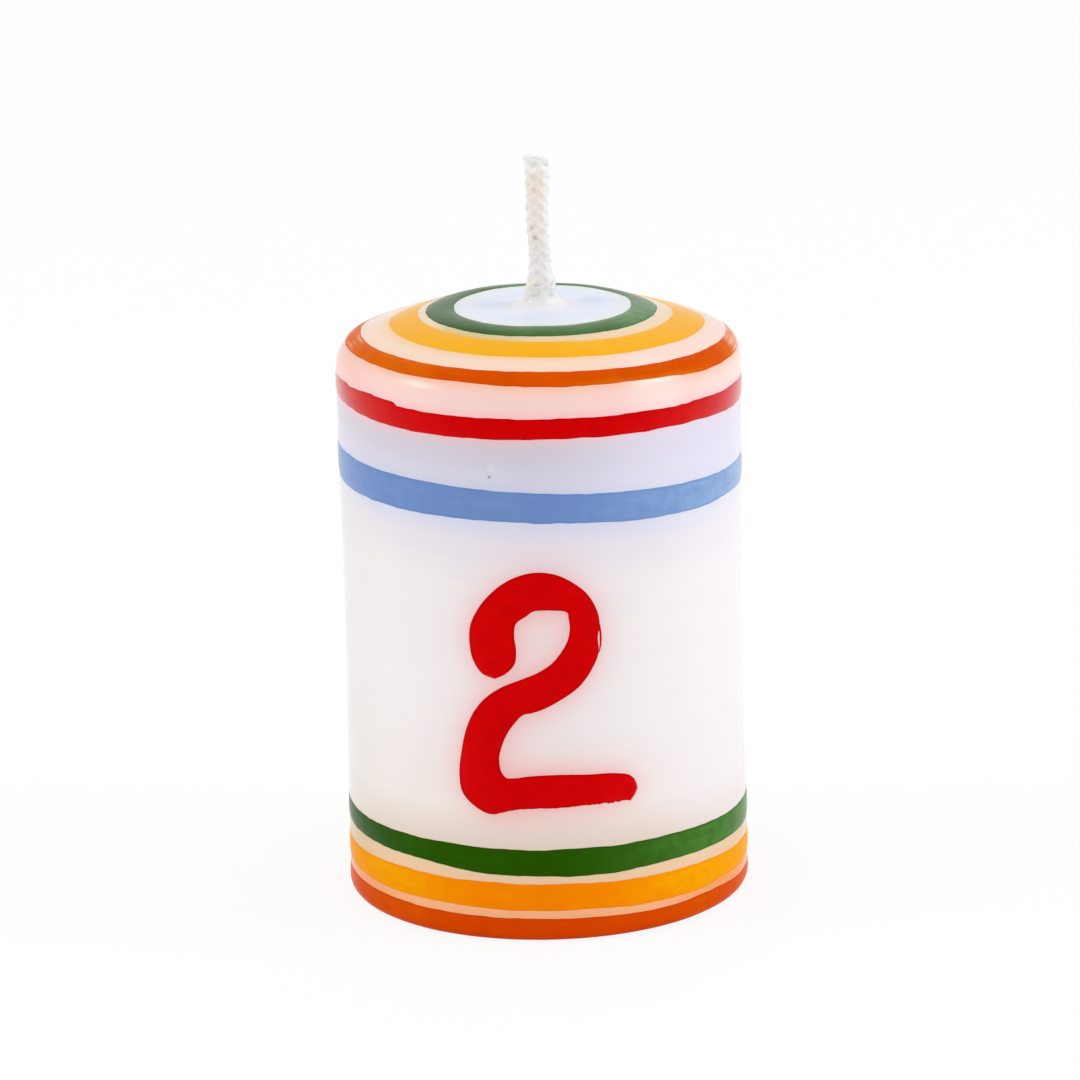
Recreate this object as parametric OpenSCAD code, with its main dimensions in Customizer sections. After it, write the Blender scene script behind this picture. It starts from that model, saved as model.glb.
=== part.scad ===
// Painted pillar candle: a domed wax cylinder on a braided wick, ringed by stripes of wax paint.
// Millimetres. The origin is the middle of the base, and +Z runs up along the wick.

/* [Wax body] */
// Diameter of the straight wall
body_d = 40; // [34:0.5:60]
// Height of the crown's flat centre above the base
body_h = 59.4; // [45:0.1:120]
// Diameter at which the crown's flat centre turns into its slope
crown_flat_d = 20; // [14:0.5:24]
// Radius of the soft turn from the flat centre to the slope
crown_turn = 10; // [4:0.5:12]
// Fall of the crown's slope below the level, in degrees
crown_tilt = 15.5; // [8:0.5:20]
// Radius of the rounded shoulder between the crown's slope and the wall
shoulder_round = 3.7; // [2.5:0.1:5]
// Radius of the rounding at the foot
foot_round = 1.2; // [0.8:0.1:2]
// Height of the collar of set wax that climbs the wick
collar_h = 1; // [0.4:0.1:2]
// Spread of that collar over the crown
collar_spread = 0.9; // [0.4:0.1:2]

/* [Wick] */
// Diameter of the braided wick
wick_d = 2.2; // [1.4:0.1:3]
// Length of wick that stands out of the crown
wick_out = 14.8; // [8:0.1:20]
// Diameter of the loosened tip
wick_tip_d = 2.6; // [2.2:0.1:3.4]
// Length over which the tip loosens
wick_tip_l = 4; // [2:0.5:5]

/* [Wick sustainer] */
// Diameter of the tinplate disc
disc_d = 15; // [10:0.5:20]
// Thickness of the tinplate
plate_t = 0.3; // [0.2:0.05:0.5]
// Height of the neck above the disc's underside
neck_h = 6; // [4:0.5:10]
// Inside radius of the drawn bend between disc and neck
neck_bend = 0.6; // [0.4:0.1:1]
// Height of the crimp that grips the wick
crimp_h = 2; // [1:0.1:2.5]
// How far the disc sits up inside the base
disc_inset = 0.4; // [0.2:0.1:1]

/* [Paint stripes] */
// Thickness of the coats of wax paint
coat_t = 0.1; // [0.05:0.01:0.3]
// Width over which a coat thins out at its edges
feather = 0.3; // [0.1:0.05:0.6]
// Bare wax between the wall's top edge and the orange crown stripe
orange_crown_gap = 2.4; // [0.5:0.1:4]
// Width of the orange crown stripe
orange_crown_w = 1.6; // [1.4:0.1:4]
// Bare wax between the orange and amber crown stripes
amber_crown_gap = 2.6; // [0.5:0.1:4]
// Width of the amber crown stripe
amber_crown_w = 3.3; // [1.4:0.1:4]
// Bare wax between the amber and green crown stripes
green_crown_gap = 1.2; // [0.5:0.1:3]
// Width of the green crown stripe
green_crown_w = 2.5; // [1.4:0.1:4]
// Bare wax between the wall's top edge and the red stripe
red_gap = 0.9; // [0.5:0.1:6]
// Width of the red stripe
red_w = 1.9; // [1.4:0.1:6]
// Bare wax between the red and blue stripes
blue_gap = 5.5; // [0.5:0.1:8]
// Width of the blue stripe
blue_w = 2.9; // [1.4:0.1:6]
// Bare wax between the edge of the base and the orange foot stripe
orange_foot_bare = 0.6; // [0.5:0.1:1]
// Height of the orange foot stripe's upper edge above the base
orange_foot_top = 2.5; // [2.2:0.1:6]
// Bare wax between the orange and amber foot stripes
amber_foot_gap = 0.8; // [0.5:0.1:3]
// Width of the amber foot stripe
amber_foot_w = 2.8; // [1.4:0.1:5]
// Bare wax between the amber and green foot stripes
green_foot_gap = 1.2; // [0.5:0.1:3]
// Width of the green foot stripe
green_foot_w = 2.5; // [1.4:0.1:5]

/* [Clearances] */
// Gap between the wax and the pieces that it holds
wax_fit = 0.05; // [0.02:0.01:0.1]
// Gap between the wick and the neck away from the crimp
neck_fit = 0.15; // [0.1:0.01:0.3]
// Gap that the crimp leaves round the wick
crimp_fit = 0.03; // [0.02:0.01:0.08]

/* [Hidden] */

// Facets of a full turn, and steps along each curved stretch of a profile
round_fn = 128;
crown_steps = 6;
shoulder_steps = 16;
foot_steps = 8;
collar_steps = 8;
bend_steps = 6;
crimp_steps = 12;

// Radii and heights of the body
body_r = body_d / 2;
crown_r = crown_flat_d / 2;
foot_r = body_r - foot_round;

// The crown's soft turn starts short of the flat's edge, and the slope runs on from there to the shoulder
turn_r = crown_r - crown_turn * tan(crown_tilt / 2);
shoulder_r = body_r - shoulder_round;
slope_end_r = shoulder_r + shoulder_round * sin(crown_tilt);
slope_end_z = body_h - (slope_end_r - crown_r) * tan(crown_tilt);
wall_top = slope_end_z - shoulder_round * cos(crown_tilt);

// Bore and collar round the wick
wick_r = wick_d / 2;
bore_r = wick_r + wax_fit;
collar_lip = 0.15;
collar_r = bore_r + collar_lip + collar_spread;
collar_top = body_h + collar_h;

// Wick, from the disc's underside to its tip
wick_foot = disc_inset;
wick_top = body_h + wick_out;
wick_tip_r = wick_tip_d / 2;
wick_tip_edge = 0.4;

// Disc, neck and the seat that the wax makes for them
disc_r = disc_d / 2;
disc_top = disc_inset + plate_t;
neck_top = disc_inset + neck_h;
neck_in_r = wick_r + neck_fit;
neck_out_r = neck_in_r + plate_t;
crimp_depth = neck_fit - crimp_fit;
crimp_mid = (disc_top + neck_bend + neck_top) / 2;
seat_r = disc_r + wax_fit;
seat_top = disc_top + wax_fit;
neck_hole_r = neck_out_r + wax_fit;
neck_hole_top = neck_top + wax_fit;

// Painted surface of the body as [radius, height], from the collar over the shoulder to the base
surface = concat(
    [[collar_r, body_h]],
    [for (i = [0:crown_steps])
        let (turn = crown_tilt * i / crown_steps)
        [turn_r + crown_turn * sin(turn), body_h - crown_turn * (1 - cos(turn))]],
    [for (i = [0:shoulder_steps])
        let (turn = crown_tilt + (90 - crown_tilt) * i / shoulder_steps)
        [shoulder_r + shoulder_round * sin(turn), wall_top + shoulder_round * cos(turn)]],
    [for (i = [0:foot_steps])
        let (turn = 90 * i / foot_steps)
        [foot_r + foot_round * cos(turn), foot_round * (1 - sin(turn))]]);
last_point = len(surface) - 1;

// Distance run along that surface, at each of its points
function run_to(i) = i == 0 ? 0 : run_to(i - 1) + norm(surface[i] - surface[i - 1]);
runs = [for (i = [0:last_point]) run_to(i)];
shoulder_run = runs[crown_steps + shoulder_steps + 2];
base_run = runs[last_point];

// Stripes in order, from the wall's top edge inward over the crown
orange_crown_to = shoulder_run - orange_crown_gap;
orange_crown_from = orange_crown_to - orange_crown_w;
amber_crown_to = orange_crown_from - amber_crown_gap;
amber_crown_from = amber_crown_to - amber_crown_w;
green_crown_to = amber_crown_from - green_crown_gap;
green_crown_from = green_crown_to - green_crown_w;

// Stripes from the wall's top edge down
red_from = shoulder_run + red_gap;
red_to = red_from + red_w;
blue_from = red_to + blue_gap;
blue_to = blue_from + blue_w;

// Stripes from the base up
orange_foot_to = base_run - orange_foot_bare;
orange_foot_from = shoulder_run + wall_top - orange_foot_top;
amber_foot_to = orange_foot_from - amber_foot_gap;
amber_foot_from = amber_foot_to - amber_foot_w;
green_foot_to = amber_foot_from - green_foot_gap;
green_foot_from = green_foot_to - green_foot_w;

// Point of the surface at a run, and the direction that points out of the wax there
function span_at(run) = max([for (i = [0:last_point - 1]) if (i == 0 || runs[i] <= run) i]);
function point_at(run) =
    let (i = span_at(run), share = (run - runs[i]) / (runs[i + 1] - runs[i]))
    surface[i] + share * (surface[i + 1] - surface[i]);
probe = 0.01;
function outward_at(run) =
    let (along = point_at(run + probe) - point_at(run - probe))
    [-along[1], along[0]] / norm(along);

// Section of a coat that lies on the surface from one run to another and thins out at both edges
function coat_section(from, to) =
    let (
        full_from = from + feather,
        full_to = to - feather,
        under = concat([from], [for (run = runs) if (run > from && run < to) run], [to]),
        over = concat([full_from], [for (run = runs) if (run > full_from && run < full_to) run], [full_to])
    )
    concat(
        [for (run = under) point_at(run)],
        [for (i = [len(over) - 1:-1:0]) point_at(over[i]) + coat_t * outward_at(over[i])]);

module coat(from, to) {
    rotate_extrude($fn = round_fn) polygon(coat_section(from, to));
}

module wax_body() {
    seat = [
        [seat_r, 0],
        [seat_r, seat_top],
        [neck_hole_r + neck_bend, seat_top],
        [neck_hole_r, seat_top + neck_bend],
        [neck_hole_r, neck_hole_top],
        [bore_r, neck_hole_top],
        [bore_r, collar_top]];
    collar = [for (i = [0:collar_steps - 1])
        let (turn = 90 * i / collar_steps)
        [collar_r - collar_spread * cos(turn), collar_top - collar_h * sin(turn)]];
    color("ivory") rotate_extrude($fn = round_fn) polygon(concat(seat, collar, surface));
}

module wick() {
    color("antiquewhite")
        rotate_extrude($fn = round_fn)
            polygon([
                [0, wick_foot],
                [wick_r, wick_foot],
                [wick_r, wick_top - wick_tip_l],
                [wick_tip_r, wick_top - wick_tip_edge],
                [wick_tip_r - wick_tip_edge, wick_top],
                [0, wick_top]]);
}

// One sheet of tinplate: a flat disc, a drawn bend and a neck that a crimp closes round the wick
module wick_sustainer() {
    bend_r = neck_out_r + neck_bend;
    bend_z = disc_top + neck_bend;
    bend = [for (i = [0:bend_steps]) 90 * i / bend_steps];
    crimp = [for (i = [0:crimp_steps])
        let (share = i / crimp_steps)
        [crimp_depth * (1 - cos(360 * share)) / 2, crimp_mid + crimp_h * (share - 0.5)]];
    outside = concat(
        [[disc_r, disc_inset], [disc_r, disc_top]],
        [for (turn = bend) [bend_r - neck_bend * sin(turn), bend_z - neck_bend * cos(turn)]],
        [for (step = crimp) [neck_out_r - step[0], step[1]]],
        [[neck_out_r, neck_top], [neck_in_r, neck_top]]);
    inner_bend = neck_bend + plate_t;
    inside = concat(
        [for (i = [crimp_steps:-1:0]) [neck_in_r - crimp[i][0], crimp[i][1]]],
        [for (i = [bend_steps:-1:0])
            [bend_r - inner_bend * sin(bend[i]), bend_z - inner_bend * cos(bend[i])]]);
    color("lightsteelblue") rotate_extrude($fn = round_fn) polygon(concat(outside, inside));
}

module green_crown_stripe() {
    color("seagreen") coat(green_crown_from, green_crown_to);
}

module amber_crown_stripe() {
    color("orange") coat(amber_crown_from, amber_crown_to);
}

module orange_crown_stripe() {
    color("orangered") coat(orange_crown_from, orange_crown_to);
}

module red_stripe() {
    color("crimson") coat(red_from, red_to);
}

module blue_stripe() {
    color("cornflowerblue") coat(blue_from, blue_to);
}

module green_foot_stripe() {
    color("darkgreen") coat(green_foot_from, green_foot_to);
}

module amber_foot_stripe() {
    color("darkorange") coat(amber_foot_from, amber_foot_to);
}

module orange_foot_stripe() {
    color("orangered") coat(orange_foot_from, orange_foot_to);
}

wax_body();
wick();
wick_sustainer();
green_crown_stripe();
amber_crown_stripe();
orange_crown_stripe();
red_stripe();
blue_stripe();
green_foot_stripe();
amber_foot_stripe();
orange_foot_stripe();
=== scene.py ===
import math

import bpy
import numpy as np
from mathutils import Matrix, Vector


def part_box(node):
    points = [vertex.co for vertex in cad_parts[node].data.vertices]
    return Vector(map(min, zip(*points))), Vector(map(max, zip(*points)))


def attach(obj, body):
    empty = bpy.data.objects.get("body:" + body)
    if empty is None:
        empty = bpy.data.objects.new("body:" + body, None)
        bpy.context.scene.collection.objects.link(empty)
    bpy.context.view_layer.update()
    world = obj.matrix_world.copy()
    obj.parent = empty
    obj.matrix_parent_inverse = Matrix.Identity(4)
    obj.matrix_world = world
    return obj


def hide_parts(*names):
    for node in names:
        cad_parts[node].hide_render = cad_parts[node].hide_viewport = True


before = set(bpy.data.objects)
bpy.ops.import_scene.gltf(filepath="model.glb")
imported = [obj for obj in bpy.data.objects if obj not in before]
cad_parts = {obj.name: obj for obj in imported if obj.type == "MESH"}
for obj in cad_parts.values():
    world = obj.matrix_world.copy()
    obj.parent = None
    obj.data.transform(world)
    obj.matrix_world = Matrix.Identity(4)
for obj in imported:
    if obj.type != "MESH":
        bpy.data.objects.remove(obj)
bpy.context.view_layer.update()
mm = 0.001
fullTurn = 2 * math.pi
print("frame loaded with", len(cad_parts), "nodes")


# Small tools

def tint(*levels):
    # screen colour 0 to 255, given to the nodes as linear light
    shares = [level / 255 for level in levels]
    return tuple(s / 12.92 if s <= 0.04045 else ((s + 0.055) / 1.055) ** 2.4 for s in shares) + (1.0,)


def smoothStep(low, high, value):
    share = np.clip((value - low) / (high - low), 0, 1)
    return share * share * (3 - 2 * share)


def roundAngles(count):
    return np.arange(count) * fullTurn / count


def fromFront(angle):
    # the same angle, within half a turn to either side
    return (angle + math.pi) % fullTurn - math.pi


def curveThrough(points, steps):
    # smooth curve through given points, whose tangents lean to the nearer neighbour
    spots = np.array(points, float)
    reach = np.linalg.norm(np.diff(spots, axis=0), axis=1)[:, None]
    slope = np.diff(spots, axis=0) / reach
    inner = (slope[:-1] * reach[1:] + slope[1:] * reach[:-1]) / (reach[:-1] + reach[1:])
    tangent = np.vstack([slope[:1], inner, slope[-1:]])
    s = (np.arange(steps) / steps)[:, None]
    ease = 3 * s ** 2 - 2 * s ** 3
    stretches = []
    for a, b, leave, arrive, far in zip(spots, spots[1:], tangent, tangent[1:], reach):
        bend = leave * (s ** 3 - 2 * s ** 2 + s) + arrive * (s ** 3 - s ** 2)
        stretches.append(a * (1 - ease) + b * ease + far * bend)
    return np.vstack(stretches + [spots[-1:]])


def gridFaces(rows, columns, closeRows=True, closeColumns=True):
    faces = []
    for i in range(rows if closeRows else rows - 1):
        low = i * columns
        high = (i + 1) % rows * columns
        for j in range(columns if closeColumns else columns - 1):
            k = (j + 1) % columns
            faces.append((low + j, low + k, high + k, high + j))
    return faces


def tubeFaces(rows, sides):
    ends = [tuple(reversed(range(sides))), tuple(range((rows - 1) * sides, rows * sides))]
    return gridFaces(rows, sides, closeRows=False) + ends


def joinShells(shells):
    points = np.concatenate([shell[0] for shell in shells])
    faces = []
    base = 0
    for shellPoints, shellFaces in shells:
        faces.extend(tuple(base + i for i in face) for face in shellFaces)
        base += len(shellPoints)
    return points, faces


def intoScene(name, data):
    thing = bpy.data.objects.new(name, data)
    bpy.context.scene.collection.objects.link(thing)
    return thing


def meshPiece(name, points, faces, material):
    mesh = bpy.data.meshes.new(name)
    mesh.from_pydata([tuple(p) for p in points], [], faces)
    mesh.materials.append(material)
    mesh.shade_smooth()
    return intoScene(name, mesh)


def writeValues(piece, name, values):
    layer = piece.data.attributes.new(name, "FLOAT", "POINT")
    layer.data.foreach_set("value", np.ascontiguousarray(values, dtype=np.float32).ravel())


# Nodes

def feed(tree, socket, value):
    # an output is linked to the socket, and anything else is its level
    if isinstance(value, bpy.types.NodeSocket):
        tree.links.new(value, socket)
    else:
        socket.default_value = value


def addNode(tree, kind, **settings):
    node = tree.nodes.new("ShaderNode" + kind)
    for key, value in settings.items():
        if key in node.inputs:
            feed(tree, node.inputs[key], value)
        else:
            setattr(node, key, value)
    return node


def maths(tree, operation, *values):
    node = addNode(tree, "Math", operation=operation)
    for socket, value in zip(node.inputs, values):
        feed(tree, socket, value)
    return node.outputs[0]


def times(tree, first, second):
    return maths(tree, "MULTIPLY", first, second)


def plus(tree, first, second):
    return maths(tree, "ADD", first, second)


def mapped(tree, value, fromLow, fromHigh, toLow=0.0, toHigh=1.0):
    node = addNode(tree, "MapRange", interpolation_type="SMOOTHSTEP", **{
        "Value": value, "From Min": fromLow, "From Max": fromHigh, "To Min": toLow, "To Max": toHigh})
    return node.outputs["Result"]


def mixColours(tree, share, first, second, blend="MIX"):
    node = addNode(tree, "Mix", data_type="RGBA", blend_type=blend)
    for socket, value in ((0, share), (6, first), (7, second)):  # 6 and 7 are the colours among its sockets
        feed(tree, node.inputs[socket], value)
    return node.outputs[2]


def readValue(tree, name):
    return addNode(tree, "Attribute", attribute_name=name).outputs["Fac"]


def objectPlace(tree):
    return addNode(tree, "TexCoord").outputs["Object"]


def noise(tree, place, scale, detail, roughness=0.5):
    node = addNode(tree, "TexNoise", Vector=place, Scale=scale, Detail=detail, Roughness=roughness)
    return node.outputs["Fac"]


def newGroup(name, inputs, outputs):
    group = bpy.data.node_groups.new(name, "ShaderNodeTree")
    for label, level in inputs.items():
        kind = "NodeSocketColor" if isinstance(level, tuple) else "NodeSocketFloat"
        group.interface.new_socket(name=label, in_out="INPUT", socket_type=kind).default_value = level
    for label in outputs:
        kind = "NodeSocketColor" if label == "Color" else "NodeSocketFloat"
        group.interface.new_socket(name=label, in_out="OUTPUT", socket_type=kind)
    return group, group.nodes.new("NodeGroupInput").outputs, group.nodes.new("NodeGroupOutput").inputs


def placeGroup(tree, group, **levels):
    node = tree.nodes.new("ShaderNodeGroup")
    node.node_tree = group
    for label, level in levels.items():
        feed(tree, node.inputs[label], level)
    return node.outputs


def newMaterial(name, **levels):
    material = bpy.data.materials.new(name)
    material.use_nodes = True
    shader = material.node_tree.nodes["Principled BSDF"]
    for label, level in levels.items():
        shader.inputs[label].default_value = level
    return material, material.node_tree, shader


def addSpots(tree, place, colour, spots):
    # soft spots on a surface: place and reach in millimetres, tone and strength
    for centre, reach, tone, strength in spots:
        far = addNode(tree, "VectorMath", operation="DISTANCE", Vector=place)
        far.inputs[1].default_value = [c * mm for c in centre]
        mask = mapped(tree, far.outputs["Value"], 0.25 * reach * mm, reach * mm, strength, 0.0)
        colour = mixColours(tree, mask, colour, tint(*tone))
    return colour


def bumpInto(tree, shader, height, strength, distance):
    bump = addNode(tree, "Bump", Strength=strength, Distance=distance, Height=height)
    tree.links.new(bump.outputs["Normal"], shader.inputs["Normal"])


plainWhite = tint(255, 255, 255)


# Cast wax: cloudy mottling, a hand-polished sheen and a few pinholes, used by the wax and by every paint
def castWaxGroup():
    tree, given, made = newGroup(
        "castWax", {"Color": plainWhite, "Cloud": 0.03, "Sheen": 0.4, "Pits": 1.0},
        ("Color", "Roughness", "Height"))
    place = objectPlace(tree)
    cloud = noise(tree, place, 140.0, 4.0, 0.55)
    grain = noise(tree, place, 1400.0, 3.0, 0.6)
    holes = addNode(tree, "TexVoronoi", Vector=place, Scale=420.0).outputs["Distance"]
    swing = maths(tree, "SUBTRACT", cloud, 0.5)
    shade = plus(tree, times(tree, times(tree, swing, given["Cloud"]), 2.0), 1.0)
    tree.links.new(mixColours(tree, 1.0, given["Color"], shade, "MULTIPLY"), made["Color"])
    tree.links.new(plus(tree, given["Sheen"], times(tree, swing, 0.2)), made["Roughness"])
    pinholes = times(tree, mapped(tree, holes, 0.0, 0.07, -1.0, 0.0), given["Pits"])
    soft = plus(tree, times(tree, cloud, 0.8), pinholes)
    tree.links.new(plus(tree, soft, times(tree, grain, 0.12)), made["Height"])
    return tree


# Brushed wax paint: streaks along the stroke, thin dry stretches, dense patches and paint pooled at the rims
def brushedCoatGroup():
    tree, given, made = newGroup(
        "brushedCoat",
        {"Paint": plainWhite, "Thin Paint": plainWhite, "Rim Paint": plainWhite,
         "Bare Wax": tint(250, 204, 184), "Along": 0.0, "Across": 0.0, "Dryness": 0.0,
         "Streaks": 0.2, "Mottle": 0.3},
        ("Color", "Height"))
    along, across = times(tree, given["Along"], 130.0), times(tree, given["Across"], 9.0)
    lane = addNode(tree, "CombineXYZ", X=along, Y=across).outputs[0]
    streak = noise(tree, lane, 1.0, 3.0, 0.6)
    place = objectPlace(tree)
    patch = noise(tree, place, 260.0, 2.0)
    fine = noise(tree, place, 800.0, 3.0, 0.55)
    uneven = times(tree, mapped(tree, times(tree, streak, patch), 0.2, 0.42), given["Streaks"])
    dryAndSheen = times(tree, given["Dryness"], mapped(tree, streak, 0.3, 0.7, 0.82, 1.18))
    bare = mapped(tree, dryAndSheen, 1.15, 2.0, 0.0, 0.75)
    thin = maths(tree, "MINIMUM", plus(tree, uneven, dryAndSheen), 1.0)
    fromMiddle = maths(tree, "ABSOLUTE", maths(tree, "SUBTRACT", given["Across"], 0.5))
    rim = mapped(tree, fromMiddle, 0.38, 0.5, 0.0, 0.55)
    dense = times(tree, mapped(tree, fine, 0.42, 0.72), given["Mottle"])
    coat = mixColours(tree, thin, given["Paint"], given["Thin Paint"])
    coat = mixColours(tree, maths(tree, "MAXIMUM", rim, dense), coat, given["Rim Paint"])
    tree.links.new(mixColours(tree, bare, coat, given["Bare Wax"]), made["Color"])
    tree.links.new(streak, made["Height"])
    return tree


castWax = castWaxGroup()
brushedCoat = brushedCoatGroup()


def finishWax(tree, shader, colour, **levels):
    # colour and gloss of cast wax on the shader, and the height for its bump
    wax = placeGroup(tree, castWax, Color=colour, **levels)
    tree.links.new(wax["Color"], shader.inputs["Base Color"])
    tree.links.new(wax["Roughness"], shader.inputs["Roughness"])
    return wax["Height"]


# Form of the candle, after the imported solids, with the small faults of a hand-poured one
bodyForm = {
    "wallRadius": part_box("wax_body")[1].x,
    "crownHeight": 59.4 * mm,
    "crownFlat": 10.0 * mm,  # radius at which the flat centre turns into the slope
    "crownTurn": 10.0 * mm,  # radius of that soft turn
    "crownTilt": math.radians(15.5),
    "shoulderRound": 3.7 * mm,
    "footRound": 1.2 * mm,
    "waist": 0.2 * mm,  # how far the wall draws in at mid height
    "waistFoot": 2.0 * mm,  # height from which it does
    "sag": 0.36 * mm,  # how far the crown's edge has sunk at the back
    "sagTurn": np.radians((84, 118)),  # it grows between these angles from the front
    "sagRadii": (9.0 * mm, 15.5 * mm),  # and these radii
    "sagDepth": 3.0 * mm,  # and ends this far below the top of the wall
    "ripple": 0.03 * mm,  # uneven pour
    "rippleSeed": 11,
    "trueFoot": 3.0 * mm,  # the faults die away at the base, and at the wick, where all angles meet
    "trueCentre": 6.0 * mm,
}


def bodyLine():
    # profile from the wick over the crown and the shoulder, down the wall and round the foot
    form = bodyForm
    wall, crown, tilt, turn = form["wallRadius"], form["crownHeight"], form["crownTilt"], form["crownTurn"]
    shoulder, foot = form["shoulderRound"], form["footRound"]
    turnStart = form["crownFlat"] - turn * math.tan(tilt / 2)
    slopeEnd = wall - shoulder + shoulder * math.sin(tilt)
    slopeFoot = crown - (slopeEnd - form["crownFlat"]) * math.tan(tilt)
    top = slopeFoot - shoulder * math.cos(tilt)
    flat = np.linspace(0, turnStart, 20)[:-1]
    soft = np.linspace(0, tilt, 30)
    bend = np.linspace(tilt, math.pi / 2, 90)
    under = np.linspace(0, math.pi / 2, 40)
    radius = np.concatenate([flat, turnStart + turn * np.sin(soft),
                             wall - shoulder + shoulder * np.sin(bend), wall - foot * (1 - np.cos(under))])
    height = np.concatenate([np.full_like(flat, crown), crown - turn * (1 - np.cos(soft)),
                             top + shoulder * np.cos(bend), foot * (1 - np.sin(under))])
    run = np.concatenate([[0], np.cumsum(np.hypot(np.diff(radius), np.diff(height)))])
    return radius, height, run, top


lineRadius, lineHeight, lineRun, wallTop = bodyLine()
baseRun = lineRun[-1]
wallRun = baseRun - bodyForm["footRound"] * math.pi / 2 - (wallTop - bodyForm["footRound"])
rippleRandom = np.random.default_rng(bodyForm["rippleSeed"])
rippleWaves = [(k, rippleRandom.uniform(0, fullTurn), rippleRandom.uniform(-140, 140))
               for k in (2, 3, 4, 5, 7)]


def handLift(radius, height, angle):
    form = bodyForm
    wall = np.clip((height - form["waistFoot"]) / (wallTop - form["waistFoot"]), 0, 1)
    outer = smoothStep(*form["sagRadii"], radius)
    upper = smoothStep(wallTop - form["sagDepth"], wallTop + form["sagDepth"], height)
    behind = smoothStep(*form["sagTurn"], np.abs(fromFront(angle)))
    lift = -form["waist"] * np.sin(math.pi * wall) ** 2 - form["sag"] * outer * upper * behind
    for k, phase, climb in rippleWaves:
        lift = lift + form["ripple"] / math.sqrt(k) * np.sin(k * angle + phase + climb * height)
    return lift * smoothStep(0, form["trueFoot"], height) * smoothStep(0, form["trueCentre"], radius)


def aroundAxis(radius, angle, height):
    return np.stack(np.broadcast_arrays(radius * np.sin(angle), -radius * np.cos(angle), height), -1)


# Point on the candle's skin: run from the wick outward and down, angle from the front, lift off the wax
def skinPoint(run, angle, lift):
    def along(past):
        return np.array([np.interp(run + past, lineRun, line) for line in (lineRadius, lineHeight)])
    radius, height = along(0)
    step = 0.05 * mm
    outR, outZ = along(step) - along(-step)
    size = np.maximum(np.hypot(outR, outZ), 1e-9)
    rise = lift + handLift(radius, height, angle)
    return aroundAxis(radius - outZ / size * rise, angle, np.maximum(height + outR / size * rise, 0.0))


def heightToRun(height):
    # on the wall; it turns a run back into its height too
    return wallRun + wallTop - height


def onCrown(back):
    # millimetres back over the shoulder from the top of the wall
    return wallRun - back * mm


def onWall(height):
    return heightToRun(height * mm)


print("candle form worked out, skin run", round(baseRun / mm, 2), "mm")

# Painted rings, from the wick down, in millimetres and in degrees from the front
# from, to: run along the skin. drift: how far each edge moved outward on the right, and inward on the left
# bulges: edge, angle, degrees to each side, extra run
# dry (thin paint and painted sheen): angle, degrees to each side, how thin and pale the paint is (past 1 the
# wax shows), and the shares of the width between which it lies, if that is not all of it; towards the sides
# of the candle the paleness is painted sheen of the light
ringTable = {
    "greenCrownRing": {
        "node": "green_crown_stripe", "paint": "greenPale", "from": onCrown(13.62), "to": onCrown(10.92),
        "drift": (0.55, 0.45), "seed": 21, "seam": 186,
        "bulges": [("from", 3, 32, 0.2), ("to", -8, 40, 0.1)],
        "dryAndSheen": [(20, 60, 0.38), (80, 40, 0.75), (-62, 44, -0.2)]},
    "amberCrownRing": {
        "node": "amber_crown_stripe", "paint": "amberPale", "from": onCrown(9.75), "to": onCrown(6.66),
        "drift": (0.85, 0.9), "seed": 22, "seam": 168,
        "bulges": [("to", 78, 34, 0.18)]},
    "orangeCrownRing": {
        "node": "orange_crown_stripe", "paint": "orange", "from": onCrown(4.0), "to": onCrown(2.42),
        "drift": (0.65, 0.4), "seed": 23, "seam": 197,
        "bulges": [("to", 10, 36, 0.2), ("to", 72, 44, 0.55), ("from", -140, 50, 0.6), ("to", -140, 50, 0.5),
                   ("from", 140, 50, 0.6), ("to", 140, 50, 0.3)],
        "dryAndSheen": [(0, 180, 0.25), (-62, 40, 0.75), (-92, 28, 0.5), (34, 32, 1.2, 0.85, 2), (92, 28, 1.4)]},
    "redRing": {
        "node": "red_stripe", "paint": "red", "from": onWall(52.9), "to": onWall(50.95),
        "drift": (0.42, 0.3), "waver": 0.06, "seed": 24, "seam": 174,
        "bulges": [("from", 18, 26, -0.12), ("to", -24, 34, 0.15), ("to", -88, 34, -0.3),
                   ("to", 84, 36, 0.3)],
        # the brush was set down and lifted, mostly on the left: each dab ends in a step down to the right
        "dabs": [(-69, 0.2), (-54, 0.16), (-44.5, 0.34), (57, 0.12)]},
    "blueRing": {
        "node": "blue_stripe", "paint": "blue", "from": onWall(45.55), "to": onWall(42.55),
        "drift": (1.0, 0.62), "seed": 25, "seam": 190,
        "bulges": [("to", 38, 28, 0.2)],
        "dryAndSheen": [(95, 95, 0.65)]},
    "greenFootRing": {
        "node": "green_foot_stripe", "paint": "green", "from": onWall(9.65), "to": onWall(7.25),
        "drift": (0.12, 0.42), "seed": 26, "seam": 163,
        "bulges": [("from", 2, 36, 0.14), ("to", 0, 42, 0.42)],
        "dryAndSheen": [(95, 95, 0.9), (90, 26, 0.22)]},
    "amberFootRing": {
        "node": "amber_foot_stripe", "paint": "amber", "from": onWall(5.98), "to": onWall(3.35),
        "drift": (0.3, 0.26), "seed": 27, "seam": 181,
        "bulges": [("from", -88, 44, 0.35), ("from", 86, 46, 0.3), ("from", -6, 26, -0.1),
                   ("to", 36, 26, 0.25), ("to", -70, 44, 0.12)],
        "dryAndSheen": [(-75, 60, 0.8), (72, 64, 1.0)]},
    "orangeFootRing": {
        "node": "orange_foot_stripe", "paint": "orange", "from": onWall(2.5), "to": baseRun - 0.25 * mm,
        "drift": (0.18, 0.0), "waver": 0.04, "seed": 28, "seam": 201,
        "bulges": [("from", 30, 20, 0.14), ("from", 82, 28, 0.18)],
        "dryAndSheen": [(-62, 40, 0.3), (62, 40, 0.3)]},
}
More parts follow.
